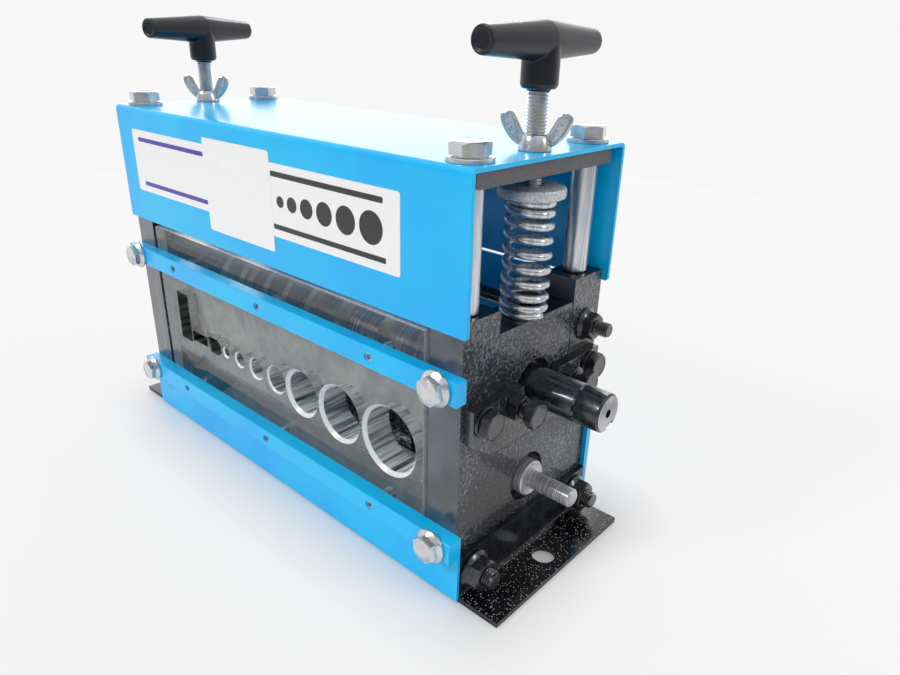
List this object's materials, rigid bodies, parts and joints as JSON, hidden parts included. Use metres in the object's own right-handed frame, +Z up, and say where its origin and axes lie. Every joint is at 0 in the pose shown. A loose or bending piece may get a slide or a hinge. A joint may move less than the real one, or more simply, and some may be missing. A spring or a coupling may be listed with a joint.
{
  "type": "wire stripper",
  "caption": "Bench wire stripper: blades over knurled feed rollers between black end plates, a clear guide plate with graded wire holes, a blue cover and two T-handled spring screws.",
  "frame": {"origin": "on the bench plane, midway between the bolt holes of the two feet and straight under both arbors", "axes": "+X along the arbors to the driven end, -Y to the clear guide plate at the front, +Z up"},
  "size_m": [0.3715, 0.139, 0.2746],
  "materials": {
    "black_paint": "semi-gloss black enamel on plate steel",
    "hammered_black": "hammered black paint",
    "blue_paint": "gloss sky-blue powder coat",
    "clear_plastic": "clear acrylic, polished edges",
    "zinc": "bright zinc plate",
    "black_oxide": "black oxide, lightly oiled",
    "ground_steel": "ground and polished steel",
    "blade_steel": "hardened tool steel, ground bevels",
    "knurled_steel": "knurled hardened steel",
    "black_plastic": "fine-grained black plastic"
  },
  "bodies": {
    "frame": {"clamp_bolts": "zinc", "cover": "blue_paint", "cover_washers": "zinc", "cross_bar_left": "black_paint", "cross_bar_right": "black_paint", "end_plate_left": "black_paint", "end_plate_right": "black_paint", "foot_angle_left": "hammered_black", "foot_angle_right": "hammered_black", "foot_nuts": "black_oxide", "front_skirt": "blue_paint", "guard_bolts": "zinc", "guide_plate": "clear_plastic", "guide_screws": "black_oxide", "jack_locknuts": "black_oxide", "jack_screws": "black_oxide", "keeper_bolts": "black_oxide", "keeper_plate_left": "black_paint", "keeper_plate_right": "black_paint", "keeper_washers": "black_oxide", "lower_bearings": "ground_steel", "lower_clamp_bar": "blue_paint", "lower_tie_rods": "black_oxide", "post_bolts": "zinc", "post_sleeves": "zinc", "rear_guard": "blue_paint", "rear_screen": "blue_paint", "screen_screws": "zinc", "upper_clamp_bar": "blue_paint", "upper_tie_nuts": "zinc", "upper_tie_rod": "zinc"},
    "bearing_carriage": {"bearing_block_right": "black_oxide", "bearing_block_left": "black_oxide", "upper_bearings": "ground_steel"},
    "upper_arbor": {"upper_shaft": "black_oxide", "slitting_blades": "blade_steel", "blade_spacers": "ground_steel", "upper_end_sleeves": "ground_steel"},
    "lower_arbor": {"lower_shaft": "ground_steel", "feed_rollers": "knurled_steel", "roller_spacers": "ground_steel", "lower_end_collars": "ground_steel"},
    "spring_seat_right": {"spring_seat_right": "zinc", "pressure_spring_right": "zinc"},
    "pressure_screw_right": {"pressure_screw_right": "zinc", "tee_handle_right": "black_plastic"},
    "wing_nut_right": {"wing_nut_right": "zinc"},
    "spring_seat_left": {"spring_seat_left": "zinc", "pressure_spring_left": "zinc"},
    "pressure_screw_left": {"pressure_screw_left": "zinc", "tee_handle_left": "black_plastic"},
    "wing_nut_left": {"wing_nut_left": "zinc"}
  },
  "joints": [
    {"name": "carriage_lift", "type": "slide", "parent": "frame", "child": "bearing_carriage", "axis": [0, 0, 1], "range_m": [0, 0.008], "stiffness_N_per_m": 8000, "springref_m": -0.01},
    {"name": "upper_arbor_turn", "type": "hinge", "parent": "bearing_carriage", "child": "upper_arbor", "pos_m": [0, 0, 0.104], "axis": [1, 0, 0], "continuous": true},
    {"name": "lower_arbor_turn", "type": "hinge", "parent": "frame", "child": "lower_arbor", "pos_m": [0, 0, 0.048], "axis": [1, 0, 0], "continuous": true},
    {"name": "seat_right_feed", "type": "slide", "parent": "frame", "child": "spring_seat_right", "axis": [0, 0, 1], "range_m": [-0.0098, 0.0038], "deforming": ["pressure_spring_right"]},
    {"name": "screw_right_turn", "type": "hinge", "parent": "spring_seat_right", "child": "pressure_screw_right", "pos_m": [0.14, 0, 0.22], "axis": [0, 0, 1], "range_deg": [-2340, 900]},
    {"name": "wing_nut_right_turn", "type": "hinge", "parent": "frame", "child": "wing_nut_right", "pos_m": [0.14, 0, 0.22], "axis": [0, 0, 1], "range_deg": [0, 60]},
    {"name": "seat_left_feed", "type": "slide", "parent": "frame", "child": "spring_seat_left", "axis": [0, 0, 1], "range_m": [-0.0098, 0.0038], "deforming": ["pressure_spring_left"]},
    {"name": "screw_left_turn", "type": "hinge", "parent": "spring_seat_left", "child": "pressure_screw_left", "pos_m": [-0.14, 0, 0.22], "axis": [0, 0, 1], "range_deg": [-2340, 900]},
    {"name": "wing_nut_left_turn", "type": "hinge", "parent": "frame", "child": "wing_nut_left", "pos_m": [-0.14, 0, 0.22], "axis": [0, 0, 1], "range_deg": [0, 60]}
  ],
  "couplings": [
    {"joint": "seat_right_feed", "follows": "screw_right_turn", "m_per_rad": 0.00023873},
    {"joint": "seat_left_feed", "follows": "screw_left_turn", "m_per_rad": 0.00023873}
  ]
}
